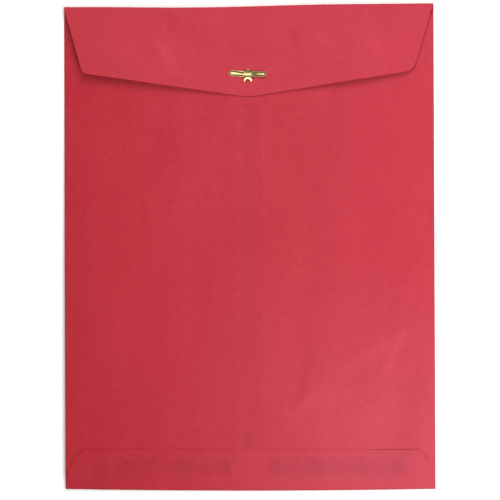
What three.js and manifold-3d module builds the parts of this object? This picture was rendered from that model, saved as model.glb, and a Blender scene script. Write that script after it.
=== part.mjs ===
// Clasp envelope: an open-end paper envelope lying on its front, closure flap shut, held by a
// two-pronged brass clasp. Millimetres, +Z up, +Y towards the fold of the closure flap.
// The origin is under the middle of the envelope, on the surface that it lies on.
import * as THREE from 'three';
import { mergeVertices } from 'three/addons/utils/BufferGeometryUtils.js';
import Module from 'manifold-3d';

const wasm = await Module();
wasm.setup();

// Envelope
const envelopeWidth = 254;
const envelopeHeight = 330.2;
const paper = 0.15;
const plyClearance = 0.02;
const pocketSwell = 4.8; // how far the empty pocket bows open at its middle
const edgeGap = 0.7; // space left between the panels at their folded edges
const sideRoundness = 3; // exponent of the swell across the envelope
const bottomRoundness = 3.5; // exponent of the swell along the envelope
const mouthSetback = 6.3; // from the top fold down to the mouth's paper edge

// Centre seam, the left panel lapping over the right one
const overPanelEdge = 11.4; // cut edge of the upper panel, right of the middle
const underPanelEdge = -7.1; // cut edge of the lower panel, left of the middle
const seamGlueThickness = 0.08;
const seamGlueInset = 1.0;
const seamRamp = 9; // width over which the upper panel climbs onto the lower one
const seamRampGap = 1; // from the top of that climb to the lower panel's edge

// Bottom flap
const bottomFlapDepth = 27;
const bottomFlapTaper = 0.22;
const bottomFlapCorner = 8;
const bottomGlueThickness = 0.08;
const bottomGlueFrom = 11.5; // height of the glue's lower edge above the bottom fold
const bottomGlueWidth = 10.5;
const bottomGlueInner = 13;
const bottomGlueOuter = 110;

// Closure flap
const flapTaper = 0.295;
const flapCornerDepth = 45.7; // below the top fold, where side and lower edges would meet
const flapCornerTrim = 7; // how far the rounding reaches from that corner
const flapTipDepth = 62.8; // where the two lower edges would meet
const flapTipTrim = 7;
const foldDepth = 1.6; // how far the bend of the paper stands out beyond the flap's hinge line
const flapRunningGap = 0.2; // between the flap at its fold and the panels' mouth
const flapClimb = 0.74; // share of the way to the clasp over which the flap rises to it
const flapCornerLift = 3;
const flapLiftRoundness = 1.25;
const gumThickness = 0.05;
const gumWidth = 14;
const gumMargin = 3.5;
const gumInner = 16; // half the bare stretch round the hole

// Clasp
const claspX = 0.35;
const claspAboveTip = 15.65; // from the flap's tip up to the clasp's middle
const claspMetal = 0.35;
const claspStripWidth = 3.9;
const claspLugSpacing = 10.6;
const claspLugRadius = 3.2;
const claspEyeRadius = 1.5;
const claspShankWall = 0.35;
const claspClinchRadius = 2.9;
const claspPierceClearance = 0.3;
const claspHubLength = 5;
const claspHubWidth = 3.4;
const claspHubGroove = 0.35;
const flapHoleRadius = 4.45;
const flapHoleDrop = 1.2; // the hole's centre lies this far below the clasp's
const holePatchRadius = 9;
const holePatchThickness = 0.12;
const flapOverClasp = 0.1; // between the hole's patch and the clasp's strip
const prongReach = 12.8; // from the clasp's middle to a prong's tip
const prongWidth = 3.8;
const prongHinge = 2.9; // from the clasp's middle to a prong's bend
const prongRideHeight = 0.28; // above the flap
const prongRidgeInset = 1.1;
const prongRidgeHeight = 0.22;
const prongYawLeft = 4.8;
const prongYawRight = -1;

// Fineness of the faceting
const sheetColumns = 12; // for each half of the width
const sheetRows = 15;
const flapRows = 8;
const bendSteps = 8; // round the top fold
const foldSteps = 4; // round the other folds
const roundSteps = 20;
const sideCrowding = 0.85; // of the columns towards the long edges
const endCrowding = 0.75; // of the rows towards the bottom
const flapCrowding = 0.3; // of the flap's rows towards its tip
const rowReach = 14; // rows kept beyond an outline that trims a sheet

// Levels and edges that follow from the sizes above
const halfWidth = envelopeWidth / 2;
const halfHeight = envelopeHeight / 2;
const sideFoldRadius = (2 * paper + edgeGap) / 2;
const panelEdgeX = halfWidth - sideFoldRadius;
const mouthY = halfHeight - mouthSetback;
const seamStep = paper + seamGlueThickness + 2 * plyClearance;
const bottomGlueSpace = bottomGlueThickness + 2 * plyClearance;
const bottomFoldRadius = (3 * paper + edgeGap + seamStep + bottomGlueSpace) / 2;
const panelBottomY = bottomFoldRadius - halfHeight;
const backTopMax = 3 * paper + edgeGap + pocketSwell + seamGlueThickness + 2 * plyClearance;
const flapFoldLevel = backTopMax + flapRunningGap; // inner face of the flap at its fold
const foldHeight = (flapFoldLevel + paper) / 2; // of the hinge line above the surface
const foldY = halfHeight - foldDepth;
const claspY = halfHeight - flapTipDepth + claspAboveTip;
const claspLevel = backTopMax + plyClearance;
const claspTop = claspLevel + claspMetal;
const flapHoleY = claspY - flapHoleDrop;
const flapClaspLevel = claspTop + flapOverClasp + holePatchThickness + plyClearance;
const flapCornerX = halfWidth - flapTaper * flapCornerDepth;
const flapTipY = halfHeight - flapTipDepth;
const flapCornerY = halfHeight - flapCornerDepth;
const prongLevel = flapClaspLevel + paper + prongRideHeight;

const paperRed = { color: 0xc8404f, roughness: 0.85, metalness: 0 };
const dryGlue = { color: 0xb9a06f, roughness: 0.5, metalness: 0 };
const flapGum = { color: 0xd9c9a0, roughness: 0.35, metalness: 0 };
const brass = { color: 0xc9a864, roughness: 0.32, metalness: 0.9 };

const envelope = new THREE.Group();

function addPiece(name, geometry, finish) {
  const mesh = new THREE.Mesh(geometry, new THREE.MeshStandardMaterial(finish));
  mesh.name = name;
  envelope.add(mesh);
  return mesh;
}

// Lines of a grid from low to high, closer together towards the high end
function gridLines(low, high, count, crowding) {
  const lines = [];
  for (let i = 0; i <= count; i++) {
    const share = i / count;
    const eased = Math.sin(share * crowding * Math.PI / 2) / Math.sin(crowding * Math.PI / 2);
    lines.push(low + (high - low) * eased);
  }
  return lines;
}

function sortedLines(lines, low, high) {
  const inside = lines.filter((v) => v > low + 0.4 && v < high - 0.4);
  const sorted = [low, ...inside.sort((a, b) => a - b), high];
  return sorted.filter((v, i) => i === 0 || v - sorted[i - 1] > 0.3 || i === sorted.length - 1);
}

// A closed solid between two grids of points, inner and outer, of the same size
function shell(inner, outer) {
  const rows = inner.length;
  const columns = inner[0].length;
  const points = [...inner.flat(), ...outer.flat()].flatMap((p) => [p.x, p.y, p.z]);
  const index = [];
  const at = (side, row, column) => side * rows * columns + row * columns + column;
  const quad = (a, b, c, d) => index.push(a, b, c, a, c, d);
  for (let r = 0; r + 1 < rows; r++) {
    for (let c = 0; c + 1 < columns; c++) {
      quad(at(0, r, c), at(0, r + 1, c), at(0, r + 1, c + 1), at(0, r, c + 1));
      quad(at(1, r, c), at(1, r, c + 1), at(1, r + 1, c + 1), at(1, r + 1, c));
    }
  }
  for (let c = 0; c + 1 < columns; c++) {
    quad(at(0, 0, c), at(0, 0, c + 1), at(1, 0, c + 1), at(1, 0, c));
    quad(at(0, rows - 1, c + 1), at(0, rows - 1, c), at(1, rows - 1, c), at(1, rows - 1, c + 1));
  }
  const last = columns - 1;
  for (let r = 0; r + 1 < rows; r++) {
    quad(at(0, r + 1, 0), at(0, r, 0), at(1, r, 0), at(1, r + 1, 0));
    quad(at(0, r, last), at(0, r + 1, last), at(1, r + 1, last), at(1, r, last));
  }
  const geometry = new THREE.BufferGeometry();
  geometry.setAttribute('position', new THREE.Float32BufferAttribute(points, 3));
  geometry.setIndex(index);
  return geometry;
}

// A sheet of even thickness over a height function, on the grid lines xs by ys
function sheet(xs, ys, underside, thickness) {
  const grid = (lift) => ys.map((y) => xs.map((x) => new THREE.Vector3(x, y, underside(x, y) + lift)));
  return shell(grid(0), grid(thickness));
}

function toManifold(geometry) {
  const bare = geometry.clone();
  bare.deleteAttribute('normal');
  bare.deleteAttribute('uv');
  const merged = mergeVertices(bare, 1e-5);
  const vertProperties = new Float32Array(merged.getAttribute('position').array);
  const triVerts = new Uint32Array(merged.getIndex().array);
  return new wasm.Manifold(new wasm.Mesh({ numProp: 3, vertProperties, triVerts }));
}

function toGeometry(solid) {
  const mesh = solid.getMesh();
  const geometry = new THREE.BufferGeometry();
  geometry.setAttribute('position', new THREE.BufferAttribute(new Float32Array(mesh.vertProperties), 3));
  geometry.setIndex([...mesh.triVerts]);
  geometry.computeVertexNormals();
  return geometry;
}

function prism(shape, low, high, steps = roundSteps) {
  const options = { depth: high - low, bevelEnabled: false, curveSegments: steps };
  return new THREE.ExtrudeGeometry(shape, options).translate(0, 0, low);
}

function disc(x, y, radius) {
  return new THREE.Shape().absarc(x, y, radius, 0, 2 * Math.PI, false);
}

function polygon(points) {
  return new THREE.Shape(points.map(([x, y]) => new THREE.Vector2(x, y)));
}

function rectangle(left, right, low, high) {
  return polygon([[left, low], [right, low], [right, high], [left, high]]);
}

// Everything tall enough to cut through the whole stack of paper
const cutLow = -5;
const cutHigh = 40;

function trimmed(geometry, outline) {
  return toManifold(geometry).intersect(toManifold(prism(outline, cutLow, cutHigh)));
}

function pierced(solid, centres, radius) {
  const drill = ([x, y]) => toManifold(prism(disc(x, y, radius), cutLow, cutHigh));
  return centres.reduce((left, centre) => left.subtract(drill(centre)), solid);
}

// Surfaces of the paper
function smooth(share) {
  const s = Math.min(Math.max(share, 0), 1);
  return s * s * (3 - 2 * s);
}

function pocketGap(x, y) {
  const across = 1 - Math.min(Math.abs(x) / panelEdgeX, 1) ** sideRoundness;
  const along = 1 - Math.min(Math.max((mouthY - y) / (mouthY - panelBottomY), 0), 1) ** bottomRoundness;
  return edgeGap + pocketSwell * across * along;
}

function underPanelUnderside(x, y) {
  return paper + pocketGap(x, y);
}

function overPanelUnderside(x, y) {
  const climb = smooth((x - underPanelEdge + seamRamp + seamRampGap) / seamRamp);
  return underPanelUnderside(x, y) + climb * seamStep;
}

function bottomFlapUnderside(x, y) {
  return underPanelUnderside(x, y) + paper + seamStep + bottomGlueSpace;
}

// The closure flap rises a little from its fold to the clasp, where the prongs press it flat, and
// curls up from there towards its corners
function flapUnderside(x, y) {
  const down = Math.max(foldY - y, 0) / (foldY - claspY);
  const side = Math.max(Math.abs(x - claspX) - prongReach, 0) / (flapCornerX - prongReach);
  const rise = (flapClaspLevel - flapFoldLevel) * smooth(down / flapClimb);
  return flapFoldLevel + rise + flapCornerLift * (side * down) ** flapLiftRoundness;
}

const seamRampTop = underPanelEdge - seamRampGap;
const seamLines = [
  seamRampTop - seamRamp,
  seamRampTop - seamRamp / 2,
  seamRampTop,
  underPanelEdge,
  underPanelEdge + seamGlueInset,
  overPanelEdge - seamGlueInset,
  overPanelEdge,
];
const halfLines = gridLines(0, panelEdgeX, sheetColumns, sideCrowding);
const bothHalves = [...halfLines, ...halfLines.map((x) => -x)];
const columnLines = [...bothHalves, ...seamLines];
const rowLines = gridLines(mouthY, panelBottomY, sheetRows, endCrowding);
const bodyRows = sortedLines(rowLines, panelBottomY, mouthY);
const claspEyes = [-1, 1].map((side) => [claspX, claspY + side * claspLugSpacing / 2]);
const pierceRadius = claspEyeRadius + claspShankWall + claspPierceClearance;

// The front panel reaches out to the full width above the mouth, where no side panel folds in
function frontPanel() {
  const aboveMouth = mouthY + plyClearance;
  const outline = polygon([
    [-panelEdgeX, panelBottomY],
    [panelEdgeX, panelBottomY],
    [panelEdgeX, aboveMouth],
    [halfWidth, aboveMouth],
    [halfWidth, foldY],
    [-halfWidth, foldY],
    [-halfWidth, aboveMouth],
    [-panelEdgeX, aboveMouth],
  ]);
  return prism(outline, 0, paper);
}

// A side panel with the fold that joins it to the front panel, for side -1 (left) or 1 (right)
function sidePanel(side, innerEdge, underside) {
  const lines = sortedLines(columnLines.map((x) => side * x), side * innerEdge, panelEdgeX);
  const xs = lines.map((x) => side * x).reverse();
  const rowOf = (y, radius, lift) => {
    const fold = [];
    for (let i = 0; i < foldSteps; i++) {
      const angle = (i / foldSteps - 0.5) * Math.PI;
      const x = side * (panelEdgeX + radius * Math.cos(angle));
      fold.push(new THREE.Vector3(x, y, sideFoldRadius + radius * Math.sin(angle)));
    }
    const flat = xs.map((x) => new THREE.Vector3(x, y, underside(x, y) + lift));
    return [...fold, ...flat];
  };
  const rows = side < 0 ? bodyRows : bodyRows.slice().reverse();
  const inner = rows.map((y) => rowOf(y, sideFoldRadius - paper, 0));
  const outer = rows.map((y) => rowOf(y, sideFoldRadius, paper));
  return pierced(toManifold(shell(inner, outer)), claspEyes, pierceRadius);
}

function seamGlue() {
  const xs = [underPanelEdge + seamGlueInset, overPanelEdge - seamGlueInset];
  const underside = (x, y) => underPanelUnderside(x, y) + paper + plyClearance;
  const strip = sheet(xs, bodyRows, underside, seamGlueThickness);
  return pierced(toManifold(strip), claspEyes, pierceRadius);
}

function bottomFlapOutline() {
  const top = bottomFlapDepth - halfHeight;
  const cornerX = halfWidth - bottomFlapTaper * bottomFlapDepth;
  const roundX = cornerX + bottomFlapTaper * bottomFlapCorner;
  const belowFold = -halfHeight - bottomFoldRadius;
  const outline = new THREE.Shape();
  outline.moveTo(-halfWidth, belowFold);
  outline.lineTo(halfWidth, belowFold);
  outline.lineTo(halfWidth, panelBottomY);
  outline.lineTo(roundX, top - bottomFlapCorner);
  outline.quadraticCurveTo(cornerX, top, cornerX - bottomFlapCorner, top);
  outline.lineTo(bottomFlapCorner - cornerX, top);
  outline.quadraticCurveTo(-cornerX, top, -roundX, top - bottomFlapCorner);
  outline.lineTo(-halfWidth, panelBottomY);
  return outline;
}

// The bottom flap with the fold that joins it to the front panel
function bottomFlap() {
  const xs = sortedLines(columnLines, -halfWidth, halfWidth);
  const flat = bodyRows.filter((y) => y < bottomFlapDepth - halfHeight + rowReach);
  const rowsAt = (radius, lift) => {
    const rows = [];
    for (let i = 0; i < foldSteps; i++) {
      const angle = (i / foldSteps - 0.5) * Math.PI;
      const y = panelBottomY - radius * Math.cos(angle);
      const z = bottomFoldRadius + radius * Math.sin(angle);
      rows.push(xs.map((x) => new THREE.Vector3(x, y, z)));
    }
    for (const y of flat) {
      rows.push(xs.map((x) => new THREE.Vector3(x, y, bottomFlapUnderside(x, y) + lift)));
    }
    return rows;
  };
  const solid = shell(rowsAt(bottomFoldRadius - paper, 0), rowsAt(bottomFoldRadius, paper));
  return trimmed(solid, bottomFlapOutline());
}

function bottomGlue(side) {
  const [left, right] = [side * bottomGlueInner, side * bottomGlueOuter].sort((a, b) => a - b);
  const xs = sortedLines(columnLines, left, right);
  const low = bottomGlueFrom - halfHeight;
  const high = low + bottomGlueWidth;
  const rows = bodyRows.filter((y) => y < high + rowReach);
  const underside = (x, y) => bottomFlapUnderside(x, y) - plyClearance - bottomGlueThickness;
  return trimmed(sheet(xs, rows, underside, bottomGlueThickness), rectangle(left, right, low, high));
}

// The bend of the paper at the top fold, from the front panel up to the closure flap
function foldBand() {
  const rowsAt = (inset) => {
    const rows = [];
    for (let i = 0; i <= bendSteps; i++) {
      const angle = (i / bendSteps - 0.5) * Math.PI;
      const drawnIn = angle > 0 ? flapTaper * foldDepth * (1 - Math.cos(angle)) : 0;
      const y = foldY + (foldDepth - inset) * Math.cos(angle);
      const z = foldHeight + (foldHeight - inset) * Math.sin(angle);
      rows.push([halfWidth - drawnIn, drawnIn - halfWidth].map((x) => new THREE.Vector3(x, y, z)));
    }
    return rows;
  };
  return shell(rowsAt(paper), rowsAt(0));
}

const flapSlope = (flapTipDepth - flapCornerDepth) / flapCornerX; // of its lower edges

function flapOutline() {
  const foldX = halfWidth - flapTaper * foldDepth;
  const roundX = flapCornerX + flapTaper * flapCornerTrim;
  const roundY = flapCornerY + flapCornerTrim;
  const innerX = flapCornerX - flapCornerTrim;
  const innerY = flapCornerY - flapCornerTrim * flapSlope;
  const tipSideY = flapTipY + flapTipTrim * flapSlope;
  const outline = new THREE.Shape();
  outline.moveTo(foldX, foldY);
  outline.lineTo(-foldX, foldY);
  outline.lineTo(-roundX, roundY);
  outline.quadraticCurveTo(-flapCornerX, flapCornerY, -innerX, innerY);
  outline.lineTo(claspX - flapTipTrim, tipSideY);
  outline.quadraticCurveTo(claspX, flapTipY, claspX + flapTipTrim, tipSideY);
  outline.lineTo(innerX, innerY);
  outline.quadraticCurveTo(flapCornerX, flapCornerY, roundX, roundY);
  return outline;
}

// The flap's sheets reach a little past its outline, which trims them
const claspLines = [claspX - prongReach, claspX, claspX + prongReach];
const flapColumns = sortedLines([...bothHalves, ...claspLines], -halfWidth - 1, halfWidth + 1);
const flapRowLines = gridLines(foldY, flapTipY - 1, flapRows, flapCrowding).reverse();

function closureFlap() {
  const whole = sheet(flapColumns, flapRowLines, flapUnderside, paper);
  return pierced(trimmed(whole, flapOutline()), [[claspX, flapHoleY]], flapHoleRadius);
}

function flapHolePatch() {
  const underside = (x, y) => flapUnderside(x, y) - plyClearance - holePatchThickness;
  const whole = sheet(flapColumns, flapRowLines, underside, holePatchThickness);
  const patch = trimmed(whole, disc(claspX, flapHoleY, holePatchRadius));
  return pierced(patch, [[claspX, flapHoleY]], flapHoleRadius);
}

// Dried gum along the lower edge of the flap's inner face, bare round the hole
function flapGumStrip(side) {
  const edgeAt = (x) => flapTipY + flapSlope * Math.abs(x) + gumMargin;
  const near = claspX + side * gumInner;
  const far = side * (flapCornerX - 2 * flapCornerTrim);
  const outline = [
    [near, edgeAt(near)],
    [far, edgeAt(far)],
    [far, edgeAt(far) + gumWidth],
    [near, edgeAt(near) + gumWidth],
  ];
  const underside = (x, y) => flapUnderside(x, y) - plyClearance - gumThickness;
  const whole = sheet(flapColumns, flapRowLines, underside, gumThickness);
  return trimmed(whole, polygon(side > 0 ? outline : outline.reverse()));
}

// The clasp's base: a strip with two ring lugs, whose shanks pierce the panels and are clinched
// inside, and a hub that stands up through the flap's hole
function claspBase() {
  const clinchTop = paper + edgeGap + pocketSwell - plyClearance;
  const shankRadius = claspEyeRadius + claspShankWall;
  const profile = [
    [claspEyeRadius, claspTop],
    [claspLugRadius, claspTop],
    [claspLugRadius, claspLevel],
    [shankRadius, claspLevel],
    [shankRadius, clinchTop],
    [claspClinchRadius, clinchTop],
    [claspClinchRadius, clinchTop - claspMetal],
    [claspEyeRadius, clinchTop - claspMetal],
    [claspEyeRadius, claspTop],
  ].map(([r, z]) => new THREE.Vector2(r, z)).reverse();
  const eyelet = new THREE.LatheGeometry(profile, roundSteps).rotateX(Math.PI / 2);
  const halfStrip = claspStripWidth / 2;
  const [low, high] = claspEyes.map(([, y]) => y);
  const strip = rectangle(claspX - halfStrip, claspX + halfStrip, low, high);
  const plate = toManifold(prism(strip, claspLevel, claspTop));
  const bar = pierced(plate, claspEyes, claspEyeRadius + claspShankWall / 2);
  const rings = claspEyes.map(([x, y]) => toManifold(eyelet.clone().translate(x, y, 0)));
  return rings.reduce((left, ring) => left.add(ring), bar).add(toManifold(claspHub()));
}

function claspHub() {
  const half = claspHubLength / 2;
  const high = prongLevel + claspMetal - claspTop;
  const profile = polygon([
    [-half, -claspMetal / 2],
    [half, -claspMetal / 2],
    [half, high],
    [half / 2, high],
    [0, high - claspHubGroove],
    [-half / 2, high],
    [-half, high],
  ]);
  const options = { depth: claspHubWidth, bevelEnabled: false };
  const block = new THREE.ExtrudeGeometry(profile, options).translate(0, 0, -claspHubWidth / 2);
  return block.rotateX(Math.PI / 2).translate(claspX, claspY, claspTop);
}

function prongShape(inset) {
  const halfProng = prongWidth / 2 - inset;
  const length = prongReach - prongHinge;
  const shape = new THREE.Shape();
  shape.moveTo(inset, -halfProng);
  shape.lineTo(length - prongWidth / 2, -halfProng);
  shape.absarc(length - prongWidth / 2, 0, halfProng, -Math.PI / 2, Math.PI / 2, false);
  shape.lineTo(inset, halfProng);
  return shape;
}

// A prong lying along +X from its bend, with a coined ridge along its upper face
function prong() {
  const blank = toManifold(prism(prongShape(0), -claspMetal / 2, claspMetal / 2, roundSteps / 2));
  const ridgeOptions = {
    depth: claspMetal / 4,
    bevelEnabled: true,
    bevelThickness: prongRidgeHeight,
    bevelSize: prongRidgeHeight,
    bevelSegments: 1,
    curveSegments: roundSteps / 2,
  };
  const ridge = new THREE.ExtrudeGeometry(prongShape(prongRidgeInset), ridgeOptions);
  return blank.add(toManifold(ridge.translate(0, 0, claspMetal / 4)));
}

function addProng(name, side, yaw) {
  const piece = addPiece(name, toGeometry(prong()), brass);
  piece.position.set(claspX + side * prongHinge, claspY, prongLevel + claspMetal / 2);
  piece.rotation.z = THREE.MathUtils.degToRad(side > 0 ? yaw : 180 - yaw);
}

addPiece('front_panel', frontPanel(), paperRed);
addPiece('left_side_panel', toGeometry(sidePanel(-1, overPanelEdge, overPanelUnderside)), paperRed);
addPiece('right_side_panel', toGeometry(sidePanel(1, underPanelEdge, underPanelUnderside)), paperRed);
addPiece('seam_glue', toGeometry(seamGlue()), dryGlue);
addPiece('bottom_flap', toGeometry(bottomFlap()), paperRed);
addPiece('bottom_glue_left', toGeometry(bottomGlue(-1)), dryGlue);
addPiece('bottom_glue_right', toGeometry(bottomGlue(1)), dryGlue);
addPiece('fold_band', foldBand(), paperRed);
addPiece('closure_flap', toGeometry(closureFlap()), paperRed);
addPiece('flap_hole_patch', toGeometry(flapHolePatch()), paperRed);
addPiece('flap_gum_left', toGeometry(flapGumStrip(-1)), flapGum);
addPiece('flap_gum_right', toGeometry(flapGumStrip(1)), flapGum);
addPiece('clasp_base', toGeometry(claspBase()), brass);
addProng('clasp_prong_left', -1, prongYawLeft);
addProng('clasp_prong_right', 1, prongYawRight);

export default envelope;
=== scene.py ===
import math

import bmesh
import bpy
import numpy as np
from mathutils import Matrix, Vector
from mathutils.geometry import delaunay_2d_cdt


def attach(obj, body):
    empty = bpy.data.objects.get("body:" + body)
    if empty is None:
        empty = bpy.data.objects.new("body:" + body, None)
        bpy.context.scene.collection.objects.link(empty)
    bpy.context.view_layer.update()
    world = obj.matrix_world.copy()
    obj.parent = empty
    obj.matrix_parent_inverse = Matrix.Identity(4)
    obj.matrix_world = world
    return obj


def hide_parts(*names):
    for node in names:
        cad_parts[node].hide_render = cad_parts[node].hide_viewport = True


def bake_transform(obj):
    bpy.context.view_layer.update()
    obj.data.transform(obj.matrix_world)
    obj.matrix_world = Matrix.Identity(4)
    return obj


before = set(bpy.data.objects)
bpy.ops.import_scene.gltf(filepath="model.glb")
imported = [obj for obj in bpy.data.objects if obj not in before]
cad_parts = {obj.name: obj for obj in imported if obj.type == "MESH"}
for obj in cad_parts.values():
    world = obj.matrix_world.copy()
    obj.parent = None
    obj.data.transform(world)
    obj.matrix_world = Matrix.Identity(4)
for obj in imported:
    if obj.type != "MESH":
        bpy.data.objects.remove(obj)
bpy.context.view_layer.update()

MM = 0.001

# Sizes in millimetres, the same as the CAD model's: the pocket
HALF_W = 127.0
HALF_H = 165.1
PAPER = 0.15
PLY = 0.02  # clearance between two sheets
SWELL = 4.8
EDGE_GAP = 0.7
SIDE_ROUND = 3.0
BOTTOM_ROUND = 3.5
MOUTH_SETBACK = 6.3

# The centre seam
OVER_EDGE = 11.4
UNDER_EDGE = -7.1
SEAM_GLUE = 0.08
SEAM_GLUE_INSET = 1.0
SEAM_RAMP = 9.0
SEAM_RAMP_GAP = 1.0

# The bottom flap and its glue
BOTTOM_FLAP_DEPTH = 27.0
BOTTOM_FLAP_TAPER = 0.22
BOTTOM_FLAP_CORNER = 8.0
BOTTOM_GLUE = 0.08
BOTTOM_GLUE_FROM = 11.5
BOTTOM_GLUE_WIDTH = 10.5
BOTTOM_GLUE_INNER = 13.0
BOTTOM_GLUE_OUTER = 110.0

# The closure flap, its gum and its hole
FLAP_TAPER = 0.295
CORNER_DEPTH = 45.7
TIP_DEPTH = 62.8
TIP_TRIM = 7.0
FOLD_DEPTH = 1.6
FLAP_GAP = 0.2
FLAP_CLIMB = 0.74
LIFT_ROUND = 1.25
GUM = 0.05
GUM_WIDTH = 14.0
GUM_MARGIN = 3.5
GUM_INNER = 16.0
GUM_END = 14.0
HOLE_R = 4.45
HOLE_DROP = 1.2
PATCH_R = 9.0
PATCH = 0.12
OVER_CLASP = 0.1

# The clasp
CLASP_X = 0.35
CLASP_ABOVE_TIP = 15.65
METAL = 0.35
LUG_SPACING = 10.6
LUG_R = 3.2
EYE_R = 1.5
SHANK_WALL = 0.35
CLINCH_R = 2.9
PRONG_REACH = 12.8
PRONG_W = 3.8
PRONG_HINGE = 2.9
PRONG_RIDE = 0.28
YAW_LEFT = 4.8
YAW_RIGHT = -1.0

# What follows from these sizes
SIDE_R = (2 * PAPER + EDGE_GAP) / 2
EDGE_X = HALF_W - SIDE_R
MOUTH_Y = HALF_H - MOUTH_SETBACK
SEAM_STEP = PAPER + SEAM_GLUE + 2 * PLY
BOTTOM_GLUE_SPACE = BOTTOM_GLUE + 2 * PLY
BOTTOM_R = (3 * PAPER + EDGE_GAP + SEAM_STEP + BOTTOM_GLUE_SPACE) / 2
BOTTOM_Y = BOTTOM_R - HALF_H
BACK_TOP = 3 * PAPER + EDGE_GAP + SWELL + SEAM_GLUE + 2 * PLY
FLAP_LEVEL = BACK_TOP + FLAP_GAP
FOLD_HEIGHT = (FLAP_LEVEL + PAPER) / 2
FOLD_Y = HALF_H - FOLD_DEPTH
TIP_Y = HALF_H - TIP_DEPTH
CORNER_X = HALF_W - FLAP_TAPER * CORNER_DEPTH
CORNER_Y = HALF_H - CORNER_DEPTH
FLAP_SLOPE = (TIP_DEPTH - CORNER_DEPTH) / CORNER_X
CLASP_Y = HALF_H - TIP_DEPTH + CLASP_ABOVE_TIP
CLASP_LEVEL = BACK_TOP + PLY
CLASP_TOP = CLASP_LEVEL + METAL
HOLE_Y = CLASP_Y - HOLE_DROP
FLAP_CLASP = CLASP_TOP + OVER_CLASP + PATCH + PLY
PRONG_LEVEL = FLAP_CLASP + PAPER + PRONG_RIDE
PRONG_LENGTH = PRONG_REACH - PRONG_HINGE
PRONG_HALF = PRONG_W / 2

# Forms that only the scene has, in millimetres: the seam's free edge is pressed down
EDGE_PRESS = 0.11
EDGE_PRESS_WIDTH = 0.9

# The top and bottom folds are bowed, each bow growing from its first row to its second one
TOP_BOW = 1.2
TOP_BOW_X = -33
TOP_BOW_REACH = 96
TOP_BOW_ROWS = (129, 163)
BOTTOM_BOW = 1.2
BOTTOM_BOW_ROWS = (-122, -163)

# The left edge stands off the table, and less towards the top and close to the bottom fold
EDGE_LIFT = 1.8
EDGE_LIFT_FROM = -27
EDGE_LIFT_WIDTH = 100
EDGE_LIFT_TOP_ROWS = (140, -40)
EDGE_LIFT_BOTTOM_ROWS = (-167, -153)

# The back has waves, ripples and a low hump, which fade out towards the folds and the closure flap
BACK_WAVE = 0.20
BACK_RIPPLE = 0.13
BACK_HUMP = 0.30
BACK_HUMP_PLACE = (92, -98)
BACK_HUMP_REACH = (40, 55)
SIDE_FADE = 26
BOTTOM_FADE = 32
BACK_FADE_ROWS = (104, 74)

# The bottom flap's edge is cut unevenly, and stands off near its right end
BOTTOM_FLAP_LEFT_CORNER = 9.5
BOTTOM_FLAP_END_INSET = 0.05
BOTTOM_FLAP_EXTRA = 0.27
BOTTOM_FLAP_CREST = 0.78
BOTTOM_FLAP_CREST_X = -62
BOTTOM_FLAP_CREST_REACH = 50
BOTTOM_FLAP_FALL = 0.5
BOTTOM_FLAP_FALL_COLUMNS = (50, 75)
OPEN_EDGE = 0.7
OPEN_EDGE_X = 96
OPEN_EDGE_REACH = 20
OPEN_EDGE_DEPTH = 7
OPEN_CORNER = 0.35
OPEN_CORNER_COLUMNS = (96, 108)

# The closure flap has lower ends, two corners that stand up differently, and waves that fade out at the clasp
LEFT_TRIM = 3.4
RIGHT_TRIM = 6.0
END_DROP = 2.8
DROP_ROUND = 3.5
RIGHT_SINK = 1.2
RIGHT_SINK_SHARE = 0.5
LEFT_LIFT = 2.8
LEFT_LIFT_COLUMNS = (-6, -72)
RIGHT_LIFT = 2.5
RIGHT_LIFT_X = 76
RIGHT_LIFT_REACH = 48
FLAP_WAVE = 0.10
FLAP_RIPPLE = 0.07
FLAP_FADE = 20
CLASP_CALM = 15
CLASP_CALM_FADE = 30

# Uneven edges of the gum and the glue
GUM_WANDER = 0.09
BOTTOM_GLUE_WANDER = 0.25

# The clasp's base: a hub with a foot under each prong's bend, and rounded lugs with rims round their eyes
HUB_X = 2.38
HUB_BELOW_PRONGS = 0.31
HUB_TOP = PRONG_LEVEL + METAL - CLASP_TOP - HUB_BELOW_PRONGS
FOOT_X = 3.15
FOOT = 0.46
FOOT_FALL = 0.2
EYE_RIM = 0.10
EYE_RIM_WIDTH = 0.5
LUG_ROUND = 0.10
LUG_ROUND_WIDTH = 0.30
RIM_SPLIT = 0.20

# The base's neck below and above the hub: how much narrower than the feet, from where, over what length
NECK_BELOW = (1.32, 1.15, 0.3)
NECK_ABOVE = (1.22, 1.3, 0.4)
NECK_FILLET = 0.55

# The hub along the strip: distance from the clasp's middle, height over the base
HUB_PROFILE = [
    (-2.45, 0), (-2.20, HUB_TOP - 0.30), (-1.55, HUB_TOP - 0.16), (-1.20, HUB_TOP - 0.60),
    (-0.85, HUB_TOP - 0.03), (0.10, HUB_TOP), (1.15, HUB_TOP - 0.16), (3.05, 0),
]

# The prongs have a barrel at the bend and a coined ridge, and the right one has sprung up a little
PRONG_ROOT = -0.33
BARREL_R = 0.31
BARREL_WORN = 0.14
BARREL_SIDES = 20
BARREL_ROWS = 14
RIDGE = 0.62
RIDGE_CROWN = 0.02
SPRING = 1.1
SPRING_DIP = 0.10
TIP_DROP = 0.05
TIP_DROP_LENGTH = 3.5

# Distances in from a prong's edge of the lines on its lower and its upper face, and how its edges are rounded
LOWER_INSETS = [PRONG_HALF - 0.02, 1.2, 0.5, 0.04]
UPPER_INSETS = [0.0, 0.03, 0.06, 0.14, 0.22, 0.46, 0.71, 0.95, 1.20, 1.35, 1.5, 1.7, PRONG_HALF - 0.02]
ROUND_BELOW = 0.05
ROUND_ABOVE = 0.03
ROUND_ABOVE_WIDTH = 0.06

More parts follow.
